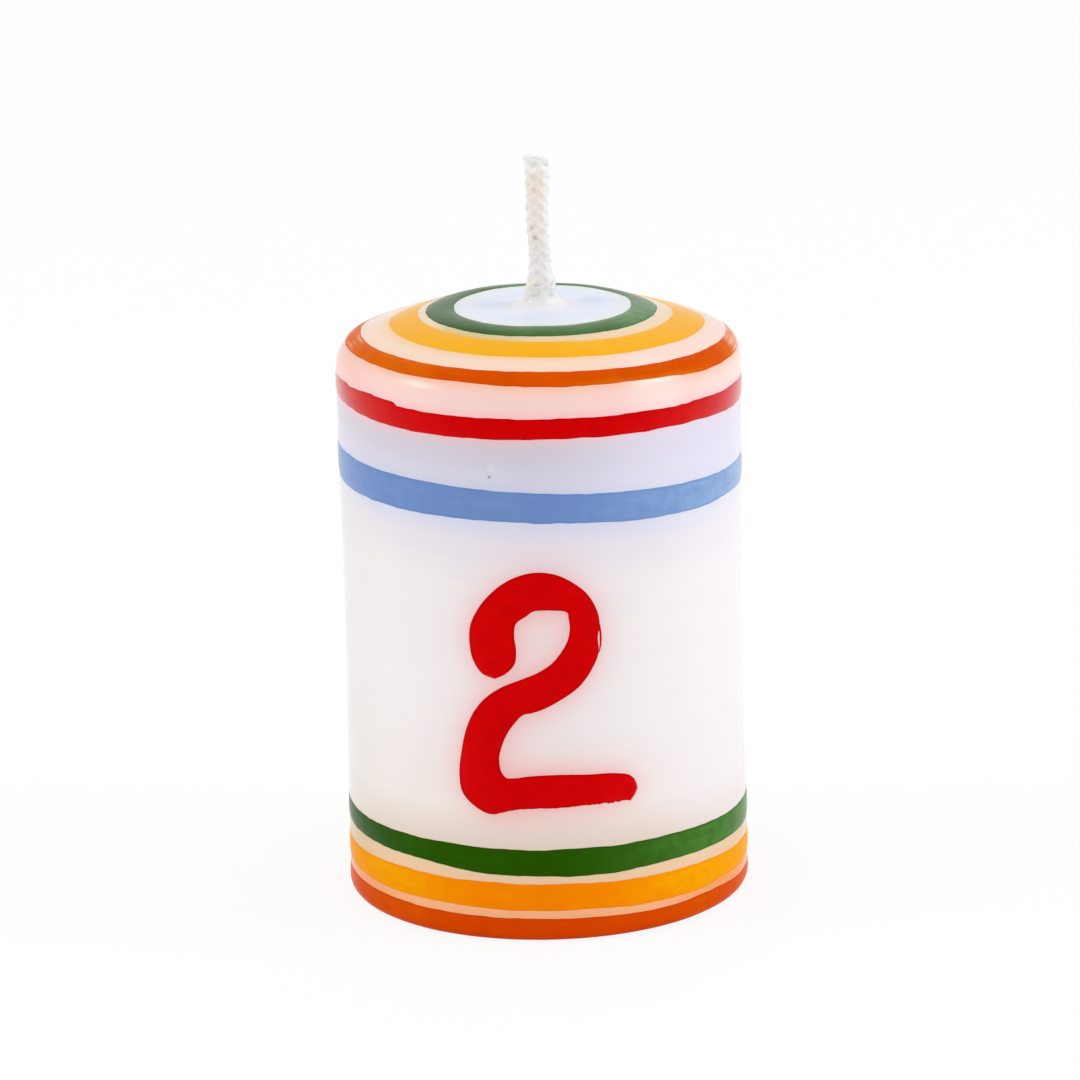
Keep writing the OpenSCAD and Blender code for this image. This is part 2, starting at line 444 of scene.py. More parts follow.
ringMake = {
    "turns": 480,  # columns round the candle
    "lanes": 13,  # rows across the coat
    "thickness": 0.08 * mm,
    "sink": 0.03 * mm,  # how far the coat's underside lies in the wax
    "bristles": 0.12,  # grooves of the brush, as a share of the thickness
    "waver": 0.05,  # millimetres that an edge strays, where its ring says nothing else
    "dabLength": 40,  # degrees
    "missed": {"from": 0.24, "to": 0.16},  # millimetres by which each edge misses its start at the seam
    "missedLength": 18,  # degrees before the seam
    "dryTail": 0.55,  # how thin the paint is where the stroke ends
    "dryLength": 28,  # degrees past the seam
    "footClear": 0.2 * mm,  # wax left bare at the base
}


def wavering(angle, amount, seed):
    # slow drift of the hand, plus the small unevenness of the brush
    random = np.random.default_rng(seed)
    offset = np.zeros_like(angle)
    for k in range(2, 90):
        size = amount * (1.0 / k ** 0.9 if k < 12 else 0.45 / k ** 0.6)
        offset += size * random.normal() * np.sin(k * angle + random.uniform(0, fullTurn))
    return offset


def degreesPast(angle, degrees):
    return np.degrees(fromFront(angle - math.radians(degrees)))


def hump(angle, degrees, reach):
    return 1 - smoothStep(0.35 * reach, reach, np.abs(degreesPast(angle, degrees)))


def ringEdges(ring, angle):
    edges = {}
    waver = ring.get("waver", ringMake["waver"]) * mm
    # at the back the brush came round to its start and did not quite meet it
    past = degreesPast(angle, ring["seam"])
    missed = smoothStep(0.9, -0.5, past) * smoothStep(-ringMake["missedLength"], -4, past)
    for edge, drift, seedStep in zip(("from", "to"), ring["drift"], (0, 50)):
        stray = wavering(angle, waver, ring["seed"] + seedStep) - ringMake["missed"][edge] * mm * missed
        edges[edge] = ring[edge] + drift * mm * np.sin(angle) + stray
    for edge, degrees, reach, extra in ring["bulges"]:
        edges[edge] = edges[edge] + extra * mm * hump(angle, degrees, reach)
    for degrees, rise in ring.get("dabs", []):
        past = degreesPast(angle, degrees)
        dab = smoothStep(1.2, -0.4, past) * smoothStep(-ringMake["dabLength"], -6, past)
        edges["from"] = edges["from"] - rise * mm * dab
    return edges["from"], np.minimum(edges["to"], baseRun - ringMake["footClear"])


def ringDryness(ring, angle, share):
    # the end of the stroke slants across the ring
    past = degreesPast(angle, ring["seam"] + 2.2 * math.sin(5 * share + ring["seed"]))
    dryness = ringMake["dryTail"] * smoothStep(ringMake["dryLength"], 2, past) * smoothStep(-0.7, 0.7, past)
    # the table's rows paint thin paint and, towards the sides, the paler painted sheen of the light
    for degrees, reach, amount, *part in ring.get("dryAndSheen", []):
        begin, end = part or (-1, 2)
        within = smoothStep(begin - 0.25, begin + 0.25, share) * smoothStep(end + 0.1, end - 0.1, share)
        dryness = dryness + amount * hump(angle, degrees, reach) * within
    return dryness


def coatProfile(make):
    # section of a coat: share of the way between its visible edges, lift off the wax, and how full it is
    # It dives into the wax just past those edges and comes back under the skin
    thickness, sink = make["thickness"], make["sink"]
    power = 3.0
    slack = 0.5 * ((1 + sink / thickness) ** (1 / power) - 1)
    across = 0.5 - 0.5 * np.cos(np.linspace(0, math.pi, make["lanes"]))
    bead = 1 - np.abs(2 * across - 1) ** power
    over = list(zip(across * (1 + 2 * slack) - slack, thickness * bead - sink * (1 - bead), bead))
    return over + [(share, -2 * sink, 0.0) for share in (0.85, 0.5, 0.15)]


# Wax paints: full, thin and pooled tone, gloss, and the pale bloom that shows along the outline. The thin
# tone also paints the paler sheen of the light towards the sides
paintLooks = {
    "red": {"tones": [(210, 0, 2), (218, 8, 10), (174, 0, 8)], "gloss": 0.2, "bloom": 0.9, "veil": 0.3},
    "orange": {"tones": [(216, 70, 1), (222, 104, 6), (200, 68, 2)], "gloss": 0.015, "bloom": 0.2},
    "amber": {"tones": [(248, 134, 2), (246, 166, 6), (242, 130, 4)], "gloss": 0.01, "bloom": 0.1},
    "amberPale": {"tones": [(246, 176, 8), (247, 184, 16), (242, 170, 10)], "gloss": 0.11, "bloom": 0.0},
    "green": {"tones": [(38, 82, 1), (74, 128, 46), (36, 76, 1)], "gloss": 0.08, "bloom": 0.12,
              "streaks": 0.08},
    "greenPale": {"tones": [(36, 84, 2), (90, 134, 78), (36, 80, 2)], "gloss": 0.42, "bloom": 0.05,
                  "streaks": 0.1},
    "blue": {"tones": [(110, 141, 197), (146, 180, 220), (100, 131, 188)], "gloss": 0.5, "bloom": 0.12,
             "streaks": 0.1, "mottle": 0.35},
}
# unless a paint says otherwise: how far in the bloom reaches, and how streaky and mottled the brush left it
usualLook = {"veil": 0.15, "streaks": 0.2, "mottle": 0.3}


def paintMaterial(colour):
    look = {**usualLook, **paintLooks[colour]}
    paint, thin, rim = (tint(*tone) for tone in look["tones"])
    material, tree, shader = newMaterial(colour + "WaxPaint", **{
        "IOR": 1.45, "Specular IOR Level": look["gloss"], "Specular Tint": paint,
        "Sheen Weight": look["bloom"], "Sheen Roughness": look["veil"]})
    coat = placeGroup(tree, brushedCoat, **{
        "Paint": paint, "Thin Paint": thin, "Rim Paint": rim, "Along": readValue(tree, "brushAlong"),
        "Across": readValue(tree, "brushAcross"), "Dryness": readValue(tree, "brushDry"),
        "Streaks": look["streaks"], "Mottle": look["mottle"]})
    height = finishWax(tree, shader, coat["Color"], Cloud=0.05, Sheen=0.25, Pits=0.0)
    bumpInto(tree, shader, plus(tree, height, times(tree, coat["Height"], 0.8)), 0.2, 0.02 * mm)
    return material


paints = {colour: paintMaterial(colour) for colour in paintLooks}


def makeRing(name, ring):
    angle = roundAngles(ringMake["turns"])
    start, end = ringEdges(ring, angle)
    random = np.random.default_rng(ring["seed"])
    rows, shares, dryness = [], [], []
    for share, lift, bead in coatProfile(ringMake):
        grooves = np.sin(angle * 9 + random.uniform(0, 6)) * np.sin(angle * 23 + random.uniform(0, 6))
        lift = lift + ringMake["bristles"] * ringMake["thickness"] * bead * grooves
        rows.append(skinPoint(start + (end - start) * share, angle, lift))
        shares.append(share)
        dryness.append(ringDryness(ring, angle, share))
    faces = gridFaces(len(rows), len(angle))
    piece = meshPiece(name, np.concatenate(rows), faces, paints[ring["paint"]])
    writeValues(piece, "brushAlong", np.tile(angle * bodyForm["wallRadius"], len(rows)))
    writeValues(piece, "brushAcross", np.repeat(shares, len(angle)))
    writeValues(piece, "brushDry", np.concatenate(dryness))
    piece.visible_shadow = False  # light passes through so thin a coat into the wax beside it
    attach(piece, "root")
    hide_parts(ring["node"])


for ringName, ringRow in ringTable.items():
    makeRing(ringName, ringRow)
print("painted rings made:", len(ringTable))

# Numeral: a red two in one brushed stroke. Ribs lie across the stroke from its hooked tip to the end of its
# foot bar. Each has two edge points: distance round the wall from the front, and height, in millimetres
numeral = {
    "ribs": [
        (-5.1, 26.9, -4.9, 26.9), (-6.2, 27.3, -3.9, 27.4), (-7.1, 28.5, -2.95, 28.5),
        (-7.5, 30.3, -2.8, 29.7), (-7.4, 32.1, -2.95, 31.3), (-6.6, 33.8, -2.75, 32.45),
        (-5.2, 35.5, -1.7, 33.25), (-3.2, 36.95, -1.0, 33.75), (-0.8, 37.65, -0.1, 33.85),
        (1.4, 37.35, 1.1, 33.8), (3.1, 36.4, 2.05, 33.65), (4.15, 35.5, 2.34, 33.45),
        (5.0, 34.2, 2.38, 33.05), (5.5, 32.3, 2.5, 32.0), (5.28, 30.8, 2.3, 30.8), (5.33, 29.3, 1.65, 29.6),
        (4.65, 27.7, 0.65, 28.45), (3.3, 25.95, -0.7, 27.6), (1.5, 24.75, -2.4, 26.9),
        (-1.4, 23.5, -4.5, 25.95), (-2.15, 23.35, -5.8, 25.05),
        (-3.2, 22.3, -7.1, 23.6), (-4.3, 20.35, -8.1, 21.6), (-4.72, 18.5, -8.65, 19.2),
        (-4.5, 17.4, -8.9, 17.0), (-4.05, 16.88, -8.6, 15.1), (-3.2, 16.88, -7.1, 13.65),
        (-1.8, 17.1, -5.9, 13.1), (0.6, 17.2, -3.4, 13.6), (4.0, 17.05, 1.5, 13.85), (7.0, 16.88, 6.0, 13.95),
        (8.35, 16.48, 7.9, 13.92), (8.78, 16.08, 8.45, 14.02), (9.02, 15.6, 8.78, 14.36),
        (9.12, 15.2, 9.06, 14.86)],
    # one bristle strayed from the brush on the right of the bowl
    "stray": [(5.52, 32.2, 5.3, 32.1), (5.66, 31.4, 5.44, 31.4), (5.69, 30.7, 5.47, 30.7),
              (5.63, 30.0, 5.45, 30.0), (5.44, 29.3, 5.36, 29.35)],
    "rowStep": 0.2 * mm,
    "lanes": 15,
    "thickness": 0.11 * mm,
    "sink": 0.03 * mm,
    "bristles": 0.2,
    "fullWidth": 2.2 * mm,  # a narrower stroke is thinner
    "ragged": 0.08 * mm,  # torn lower edge of the foot bar, below and past these
    "raggedBelow": 14.4 * mm,
    "raggedPast": -5.4 * mm,
    "raggedMost": (3.4 * mm, 6.5 * mm),
    "raggedWaves": (3.7 * mm, 1.7 * mm, 0.9 * mm, 0.53 * mm, 0.41 * mm),
    "seed": 5,
}


def strokeEdges(ribs):
    # both edges of a stroke in even rows, and how far along the stroke each row lies
    pairs = np.array(ribs).reshape(-1, 2, 2) * mm
    first, second = (curveThrough(pairs[:, side], 24) for side in (0, 1))
    middle = (first + second) / 2
    along = np.concatenate([[0], np.cumsum(np.linalg.norm(np.diff(middle, axis=0), axis=1))])
    rows = np.linspace(0, along[-1], int(along[-1] / numeral["rowStep"]))
    even = [np.stack([np.interp(rows, along, edge[:, k]) for k in (0, 1)], -1) for edge in (first, second)]
    return *even, rows


def strokeShell(ribs, random):
    given = numeral
    first, second, along = strokeEdges(ribs)
    torn = sum(np.sin(fullTurn * along / wave + random.uniform(0, 6)) for wave in given["raggedWaves"])
    torn = torn * (0.3 + 0.7 * smoothStep(*given["raggedMost"], second[:, 0]))
    lower = (second[:, 1] < given["raggedBelow"]) & (second[:, 0] > given["raggedPast"])
    second[:, 1] += np.where(lower, given["ragged"] * torn / 1.8, 0)
    full = smoothStep(0, given["fullWidth"], np.linalg.norm(second - first, axis=1)) * 0.7 + 0.3
    profile = coatProfile(given)
    columns = []
    for share, lift, bead in profile:
        spot = first + (second - first) * share
        groove = np.sin(share * 40 + random.uniform(0, 6)) * np.sin(along / mm * 0.7 + share * 9)
        bristle = given["bristles"] * given["thickness"] * bead * groove * full
        rise = lift * np.where(lift > 0, full, 1) + bristle
        columns.append(skinPoint(heightToRun(spot[:, 1]), spot[:, 0] / bodyForm["wallRadius"], rise))
    faces = [tuple(reversed(face)) for face in tubeFaces(len(along), len(profile))]
    shares = np.tile([row[0] for row in profile], len(along))
    return np.stack(columns, 1).reshape(-1, 3), faces, np.repeat(along, len(profile)), shares


def makeNumeral():
    random = np.random.default_rng(numeral["seed"])
    strokes = [strokeShell(numeral[part], random) for part in ("ribs", "stray")]
    piece = meshPiece("numeralTwo", *joinShells([stroke[:2] for stroke in strokes]), paints["red"])
    writeValues(piece, "brushAlong", np.concatenate([stroke[2] for stroke in strokes]))
    writeValues(piece, "brushAcross", np.concatenate([stroke[3] for stroke in strokes]))
    piece.visible_shadow = False
    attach(piece, "root")


makeNumeral()
print("numeral painted")

# Wick: ten cotton yarns braided round a core and soaked in wax, with a frayed tip and loose fibres
# It is made in millimetres, because the braid is fused at that scale
wickForm = {
    "foot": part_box("wick")[0].z / mm,
    "tip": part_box("wick")[1].z / mm,
    # sideways sway and girth at heights up the wick, where a girth of 1 is the braid's own
    "sway": [(0, 0), (52, 0), (59.4, 0.34), (63.2, 0.42), (65.2, 0.36), (67, 0.26), (69, 0.24), (72, 0.3),
             (75, 0.28)],
    "girth": [(0, 1), (57, 1.3), (60, 1.56), (61, 1.44), (61.8, 1.28), (62.6, 1.14), (63.6, 1.04), (65, 0.98),
              (67, 1), (70, 1.03), (72.4, 1.12), (75, 1.16)],
    "braidFrom": 57.0,
    "yarns": 5,  # in each direction
    "yarnRadius": 0.36,
    "braidRadius": 0.72,
    "weave": 0.06,
    "pitch": 6.0,
    "core": 0.92,  # wax between the yarns
    "coreEnd": 0.35,  # how far below the tip it ends
    "fuse": 0.052,
    "soak": 19,  # smoothing passes that stand for the wax film
    "splay": 0.1,  # how far the yarns open at the tip, and over what length
    "splayLength": 1.2,
    "slant": 0.26,  # the scissors cut it lower on the right, and some yarns shorter
    "cutShort": (0.05, 0.3),
    "fuzz": 120,  # loose fibres on the bare length
    "fuzzFrom": 63.0,
    "fuzzReach": (0.25, 0.55),
    "tuft": 320,  # fibres that stand up from the cut end
    "tuftReach": (0.35, 0.75),
    "tuftTop": 0.35,  # the most that they stand above the tip
    "fibreRadius": 0.013,
    "seed": 3,
}


def tubeMesh(line, radii, sides):
    # closed tube along a line of points
    ahead = np.gradient(line, axis=0)
    ahead /= np.linalg.norm(ahead, axis=1)[:, None]
    side = np.cross(ahead, np.tile([0.13, 0.99, 0.05], (len(line), 1)))
    side /= np.linalg.norm(side, axis=1)[:, None]
    up = np.cross(side, ahead)
    turn = roundAngles(sides)
    rings = line[:, None] + radii[:, None, None] * (
        np.cos(turn)[None, :, None] * side[:, None] + np.sin(turn)[None, :, None] * up[:, None])
    return rings.reshape(-1, 3), tubeFaces(len(line), sides)


def wickAt(feature, height):
    path = curveThrough(wickForm[feature], 8)
    return np.interp(height, path[:, 0], path[:, 1])


def wickMiddle(height):
    return np.stack([wickAt("sway", height), np.zeros_like(height), height], -1)


def cutHeight(x):
    return wickForm["tip"] + 0.2 - wickForm["slant"] * (1 + (x - wickAt("sway", wickForm["tip"])) / 1.15)


def braidShells(random):
    given = wickForm
    tip = given["tip"]
    height = np.linspace(given["braidFrom"], tip - given["coreEnd"], 90)
    shells = [tubeMesh(wickMiddle(height), given["core"] * wickAt("girth", height), 20)]
    for way in (1, -1):
        for yarn in range(given["yarns"]):
            first = fullTurn * (yarn + (0 if way > 0 else 0.5)) / given["yarns"]
            swing = way * fullTurn / given["pitch"]
            end = cutHeight(wickAt("sway", tip) + math.sin(swing * tip + first))
            end = end - random.uniform(*given["cutShort"])
            height = np.linspace(given["braidFrom"], end, 220)
            girth = wickAt("girth", height)
            angle = swing * height + first
            over = way * given["weave"] * np.cos(given["yarns"] * abs(swing) * height - math.pi / 2)
            splay = given["splay"] * smoothStep(end - given["splayLength"], end, height)
            radius = (given["braidRadius"] + over + splay) * girth
            line = wickMiddle(height)
            line[:, 0] += radius * np.sin(angle)
            line[:, 1] += radius * np.cos(angle)
            blunt = np.sqrt(np.clip((end + 0.12 - height) / 0.3, 0, 1))
            shells.append(tubeMesh(line, given["yarnRadius"] * girth * blunt, 10))
    return shells


def fibreShells(random):
    # loose cotton fibres: each lies along the wick, lifts off and bends
    given = wickForm
    tip = given["tip"]
    outer = given["braidRadius"] + given["yarnRadius"]
    upward = np.array([0.0, 0.0, 1.0])
    steps = np.linspace(0, 1, 6)[:, None]
    shells = []
    for fibre in range(given["fuzz"] + given["tuft"]):
        standing = fibre >= given["fuzz"]
        turn = random.uniform(0, fullTurn)
        away = np.array([math.sin(turn), math.cos(turn), 0.0])
        share = math.sqrt(random.uniform(0.02, 1.0)) if standing else random.uniform(0.9, 1.0)
        height = tip if standing else random.uniform(given["fuzzFrom"], tip - 1.0)
        start = wickMiddle(height) + share * outer * wickAt("girth", height) * away
        if standing:
            start[2] = cutHeight(start[0]) - random.uniform(0.3, 0.6)
        rise = 1.0 if standing else random.choice([-1.0, 1.0])
        lean = rise * upward + away * random.uniform(0.0, 0.25) + random.normal(0, 0.18, 3)
        bend = random.normal(0, 0.2, 3)
        reach = random.uniform(*given["tuftReach" if standing else "fuzzReach"])
        line = start + (lean * steps + bend * steps ** 2) * reach
        line[:, 2] = np.minimum(line[:, 2], tip + given["tuftTop"])
        shells.append(tubeMesh(line, given["fibreRadius"] * (1.1 - 0.5 * steps[:, 0]), 4))
    return shells


def makeWick(material):
    given = wickForm
    random = np.random.default_rng(given["seed"])
    piece = meshPiece("braidedWick", *joinShells(braidShells(random)), material)
    fuse = piece.modifiers.new("fuse", "REMESH")
    fuse.mode = "VOXEL"
    fuse.voxel_size = given["fuse"]
    soak = piece.modifiers.new("soak", "SMOOTH")
    soak.iterations = given["soak"]
    soak.factor = 0.5
    fused = bpy.data.meshes.new_from_object(piece.evaluated_get(bpy.context.evaluated_depsgraph_get()))
    braid = ([tuple(v.co) for v in fused.vertices], [tuple(p.vertices) for p in fused.polygons])
    bpy.data.objects.remove(piece)
    bpy.data.meshes.remove(fused)
    # inside the candle the wick is plain, down to the disc
    height = np.linspace(given["foot"], given["braidFrom"] + 1.0, 40)
    girth = np.full(len(height), given["braidRadius"] + given["yarnRadius"])
    inner = tubeMesh(wickMiddle(height), girth, 24)
    points, faces = joinShells([braid, inner] + fibreShells(random))
    piece = meshPiece("braidedWick", points * mm, faces, material)
    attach(piece, "root")
    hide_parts("wick")
    return piece


# Marks on the wick
wickMarks = [
    ((0.0, -1.0, 71.5), 1.5, (241, 231, 221), 0.7),  # warm stain under the tip
    ((0.1, -1.3, 61.2), 1.9, (237, 231, 216), 0.75),  # yellowed wax at the foot
    # painted shade in gaps between the yarns
    ((-0.42, -1.0, 67.4), 0.36, (204, 194, 188), 0.8),
    ((-0.03, -1.1, 66.4), 0.4, (194, 184, 177), 0.8),
    ((-0.8, -0.9, 62.7), 0.45, (204, 196, 184), 0.7),
]


def cottonMaterial():
    material, tree, shader = newMaterial("waxedCotton", **{
        "IOR": 1.43, "Specular IOR Level": 0.25, "Sheen Weight": 0.25, "Sheen Roughness": 0.5,
        "Subsurface Weight": 0.5, "Subsurface Radius": (1.0, 0.9, 0.8), "Subsurface Scale": 0.8 * mm})
    place = objectPlace(tree)
    axes = addNode(tree, "SeparateXYZ", Vector=place).outputs
    # the wax that climbed the wick shows as a colder grey near the crown and up its right side
    climbed = mapped(tree, axes["Z"], 63.0 * mm, 67.5 * mm, 1.0, 0.0)
    ranOver = mapped(tree, axes["X"], 0.6 * mm, 1.3 * mm, 0.0, 0.8)
    waxed = maths(tree, "MAXIMUM", climbed, ranOver)
    yarn = mixColours(tree, waxed, tint(239, 234, 228), tint(238, 236, 235))
    bleached = mapped(tree, axes["Z"], 72.6 * mm, 73.6 * mm)
    yarn = mixColours(tree, bleached, yarn, tint(250, 248, 246))
    finishWax(tree, shader, addSpots(tree, place, yarn, wickMarks), Cloud=0.06, Sheen=0.6, Pits=0.0)
    bumpInto(tree, shader, noise(tree, place, 5200.0, 2.0), 0.25, 0.03 * mm)
    return material


wickPiece = makeWick(cottonMaterial())
print("wick braided:", len(wickPiece.data.vertices), "points")

# Wax body: one closed skin from the bore over the crown and wall to the recess under the base
waxForm = {
    "turns": 336,
    "lipRows": 26,
    "rows": (30, 50, 165, 10),  # over the crown, the shoulder, the wall and the foot
    "lipRadius": 1.46 * mm,  # the wax that climbs the wick ends among its outer yarns
    "lipEnd": 3.0 * mm,
    "lipPole": 1.2 * mm,  # it climbs as one over the distance from this radius
    "lipClimb": 0.66 * mm * mm,
    "lipUneven": [(1, 0.2, 0.14), (3, 2.0, 0.1), (7, 0.0, 0.07)],  # waves round it, their start and size
    "lean": (2.6 * mm, 8.0 * mm),  # it leans with the wick within the first radius, and not past the second
    "boreRadius": 1.15 * mm,
    "boreTop": 51.4 * mm,
    "recessRadius": 7.55 * mm,
    "recessDepth": 0.75 * mm,
    "neckRadius": 1.6 * mm,
    "neckTop": 6.45 * mm,
    "bevel": 0.1 * mm,
    "baseMiddle": 14.0 * mm,  # one more row across the flat base
}


def waxRows(angle):
    given = waxForm
    lip, lipEnd, pole = given["lipRadius"], given["lipEnd"], given["lipPole"]
    runs = [0.8 * lip, *(lip + (lipEnd - lip) * np.linspace(0, 1, given["lipRows"]) ** 2.2)]
    marks = [lipEnd, bodyForm["crownFlat"], wallRun, heightToRun(bodyForm["footRound"]), baseRun]
    for start, end, count in zip(marks, marks[1:], given["rows"]):
        runs.extend(np.linspace(start, end, count)[1:])
    uneven = 1 + sum(size * np.sin(k * angle + start) for k, start, size in given["lipUneven"])
    rows = []
    for run in runs:
        climb = given["lipClimb"] * (1 / (np.clip(run, lip, lipEnd) - pole) - 1 / (lipEnd - pole))
        row = skinPoint(np.full_like(angle, run), angle, uneven * climb)
        row[:, 0] += wickAt("sway", row[:, 2] / mm) * mm * (1 - smoothStep(*given["lean"], run))
        rows.append(row)
    recess, neck, bore = given["recessRadius"], given["neckRadius"], given["boreRadius"]
    depth, bevel = given["recessDepth"], given["bevel"]
    under = [(given["baseMiddle"], 0.0), (recess + 2 * bevel, 0.0), (recess, bevel), (recess, depth),
             (neck, depth + bevel), (neck, given["neckTop"]), (bore, given["neckTop"]),
             (bore, given["boreTop"])]
    rows.extend(aroundAxis(radius, angle, height) for radius, height in under)
    return rows, np.array(runs + [baseRun] * len(under))


def paintedRun(runs, angle):
    # run measured against the wavering rings, so that the painted glow of their light in the wax follows them
    asPainted = [np.zeros_like(angle)]
    asPlanned = [0.0]
    for ring in ringTable.values():
        asPainted.extend(ringEdges(ring, angle))
        asPlanned.extend([ring["from"], ring["to"]])
    asPainted = np.stack(asPainted + [np.full_like(angle, baseRun)])
    asPlanned.append(baseRun)
    return np.stack([np.interp(runs, asPainted[:, j], asPlanned) for j in range(len(angle))], 1)


# Bare wax between the rings, from the wick down: tones at shares of the way across. Besides the wax's own
# tone they hold painted light, the glow of coloured light that the rings send through the translucent wax
bareBands = [
    [(0.0, (249, 244, 236)), (0.2, (243, 240, 239)), (0.38, (231, 231, 241)), (0.62, (221, 230, 247)),
     (0.9, (228, 233, 242)), (1.0, (223, 232, 222))],
    [(0.1, (226, 206, 168)), (0.5, (234, 206, 164)), (0.9, (240, 200, 132))],
    [(0.1, (248, 206, 156)), (0.4, (247, 215, 194)), (0.9, (248, 214, 189))],
    [(0.05, (255, 198, 174)), (0.3, (255, 213, 203)), (0.7, (255, 215, 209)), (0.95, (255, 202, 201))],
    [(0.04, (234, 198, 206)), (0.16, (214, 203, 213)), (0.45, (212, 207, 220)), (0.75, (216, 212, 227)),
     (0.97, (208, 211, 232))],
    [(0.01, (218, 220, 238)), (0.06, (232, 226, 234)), (0.2, (241, 236, 237)), (0.6, (242, 237, 237)),
     (0.88, (241, 233, 229)), (0.98, (229, 216, 204))],
    [(0.1, (236, 204, 166)), (0.8, (240, 202, 160))],
    [(0.2, (255, 184, 132)), (0.8, (255, 178, 128))],
    [(0.9, (244, 230, 222))],
]
# Painted light and shade: the band below a ring made lighter, darker and tinted towards one side, as the
# light falls there: where that begins and is full, in millimetres from the middle to the right, then tone and
# strength
bandSideLight = {
    "greenCrownRing": [(1, -6, (204, 188, 112), 0.6), (-8.5, -10.5, (244, 218, 190), 0.85),
                       (3, 10, (246, 216, 192), 0.5)],
    "amberCrownRing": [(4, 12, (250, 218, 210), 0.6)],
    "orangeCrownRing": [(-14.5, -19.5, (238, 188, 180), 0.6)],
    "redRing": [(-2, 14, (230, 227, 244), 0.6)],
    "blueRing": [(-15, -20, (222, 222, 220), 0.5), (9, 17, (240, 235, 240), 0.4)],
    "greenFootRing": [(-15, -20, (214, 180, 128), 0.8), (15, 20, (220, 182, 130), 0.6)],
    "amberFootRing": [(-13, -20, (246, 146, 56), 1.0), (9, 20, (246, 150, 62), 1.0)],
}
# Spots on the wax, among them painted light and shade
waxSpots = [
    ((5.4, 2.4, 59.4), 2.0, (198, 212, 244), 0.55),  # bluish patches on the crown
    ((-4.0, 1.0, 59.4), 2.6, (212, 224, 244), 0.4),
    ((0.5, -4.2, 59.3), 2.6, (214, 226, 244), 0.4),
    ((-4.8, -19.41, 48.0), 0.6, (224, 227, 232), 0.4),  # a dent with a pinhole under the red ring, painted as light and shade: a pale lit patch and a dark spot of shade
    ((-4.94, -19.38, 47.15), 0.22, (132, 126, 134), 0.8),
    ((11.0, -15.9, 54.6), 4.6, (255, 234, 226), 0.5),  # painted highlight on the right of the shoulder, under the orange ring
]


def bandGlowStops():
    rings = list(ringTable.values())
    starts = [0.0] + [ring["to"] for ring in rings]
    ends = [ring["from"] for ring in rings] + [baseRun]
    return [((start + share * (end - start)) / baseRun, tint(*tone))
            for start, end, tones in zip(starts, ends, bareBands) for share, tone in tones]


def bandMask(tree, above):
    names = list(ringTable)
    below = names[names.index(above) + 1]
    run = readValue(tree, "glowRun")
    low, high = ringTable[above]["to"] / baseRun, ringTable[below]["from"] / baseRun
    soft = 0.15 * mm / baseRun
    return times(tree, mapped(tree, run, low - soft, low + soft),
                 mapped(tree, run, high - soft, high + soft, 1.0, 0.0))


def waxMaterial():
    material, tree, shader = newMaterial("castWhiteWax", **{
        "IOR": 1.44, "Specular IOR Level": 0.4,
        "Subsurface Weight": 0.3, "Subsurface Radius": (1.0, 0.8, 0.7), "Subsurface Scale": 1.0 * mm})
    # the ramp paints the rings' coloured light glowing through the wax into the bare bands
    ramp = addNode(tree, "ValToRGB", Fac=readValue(tree, "glowRun"))
    stops = ramp.color_ramp.elements
    marks = bandGlowStops()
    for share, tone in marks[1:-1]:
        stops.new(share)
    for stop, (share, tone) in zip(stops, marks):
        stop.position = share
        stop.color = tone
    waxWithPaintedLight = ramp.outputs["Color"]
    place = objectPlace(tree)
    right = addNode(tree, "SeparateXYZ", Vector=place).outputs["X"]
    # light and shade painted to one side of each band
    for above, sides in bandSideLight.items():
        inBand = bandMask(tree, above)
        for begin, full, tone, strength in sides:
            side = math.copysign(1, full)
            aside = mapped(tree, times(tree, right, side), side * begin * mm, side * full * mm, 0.0, strength)
            waxWithPaintedLight = mixColours(tree, times(tree, inBand, aside), waxWithPaintedLight, tint(*tone))
    # haze of dye that was wiped round the candle
    wipe = addNode(tree, "Mapping", Vector=place, Scale=(70.0, 70.0, 900.0)).outputs["Vector"]
    haze = mapped(tree, noise(tree, wipe, 1.0, 3.0), 0.45, 0.75, 0.0, 0.07)
    waxWithPaintedLight = mixColours(tree, haze, waxWithPaintedLight, tint(206, 212, 238))
    # painted pink glow of the numeral's red light through the wax
    waxWithPaintedLight = mixColours(tree, readValue(tree, "numeralGlow"), waxWithPaintedLight, tint(246, 162, 157))
    waxWithPaintedLight = addSpots(tree, place, waxWithPaintedLight, waxSpots)
    height = finishWax(tree, shader, waxWithPaintedLight, Cloud=0.012, Sheen=0.2, Pits=0.05)
    bumpInto(tree, shader, height, 0.1, 0.02 * mm)
    return material


# How the painted glow of the numeral's red light spreads in the wax
glowSpread = {
    "reach": 0.6 * mm,
    "fade": 0.8,  # below 1 it drops fast at the stroke and slowly far from it
    "strength": 1.29,
    "crowding": 0.35,  # how much weaker the painted glow grows where there is much
    "border": 6.0 * mm,  # none is reckoned past this
    "lanes": 8,
}


